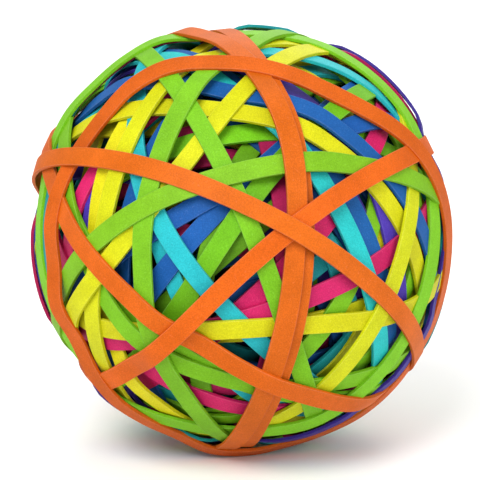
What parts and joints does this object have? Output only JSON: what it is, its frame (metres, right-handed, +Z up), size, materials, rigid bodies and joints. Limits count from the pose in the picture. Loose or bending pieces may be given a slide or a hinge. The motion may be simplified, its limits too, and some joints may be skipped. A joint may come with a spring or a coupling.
{
  "type": "rubber band ball",
  "caption": "Desk rubber band ball, 66 mm, wound from flat bands in orange, lime, yellow, cyan, blue, purple and magenta.",
  "frame": {"origin": "middle of the ball's bounding box", "axes": "+Z up, with the star of five crossing orange bands on the -Y side and +X to the right of it"},
  "size_m": [0.0662, 0.0662, 0.0666],
  "materials": {
    "orange_rubber": "matte",
    "yellow_rubber": "matte",
    "lime_rubber": "matte",
    "cyan_rubber": "matte",
    "blue_rubber": "matte",
    "purple_rubber": "matte",
    "magenta_rubber": "matte",
    "core_rubber": "matte"
  },
  "bodies": {
    "root": {"core": "core_rubber", "orange_band_01": "orange_rubber", "orange_band_02": "orange_rubber", "orange_band_03": "orange_rubber", "orange_band_04": "orange_rubber", "orange_band_05": "orange_rubber", "lime_band_01": "lime_rubber", "orange_band_06": "orange_rubber", "lime_band_02": "lime_rubber", "lime_band_03": "lime_rubber", "lime_band_04": "lime_rubber", "yellow_band_01": "yellow_rubber", "yellow_band_02": "yellow_rubber", "yellow_band_03": "yellow_rubber", "lime_band_05": "lime_rubber", "yellow_band_04": "yellow_rubber", "lime_band_06": "lime_rubber", "blue_band_01": "blue_rubber", "yellow_band_05": "yellow_rubber", "cyan_band_01": "cyan_rubber", "cyan_band_02": "cyan_rubber", "magenta_band_01": "magenta_rubber", "blue_band_02": "blue_rubber", "cyan_band_03": "cyan_rubber", "yellow_band_06": "yellow_rubber", "lime_band_07": "lime_rubber", "blue_band_03": "blue_rubber", "blue_band_04": "blue_rubber", "purple_band_01": "purple_rubber", "magenta_band_02": "magenta_rubber", "cyan_band_04": "cyan_rubber", "magenta_band_03": "magenta_rubber", "purple_band_02": "purple_rubber", "magenta_band_04": "magenta_rubber", "blue_band_05": "blue_rubber", "lime_band_08": "lime_rubber", "lime_band_09": "lime_rubber", "lime_band_10": "lime_rubber", "yellow_band_07": "yellow_rubber", "yellow_band_08": "yellow_rubber"}
  },
  "joints": []
}
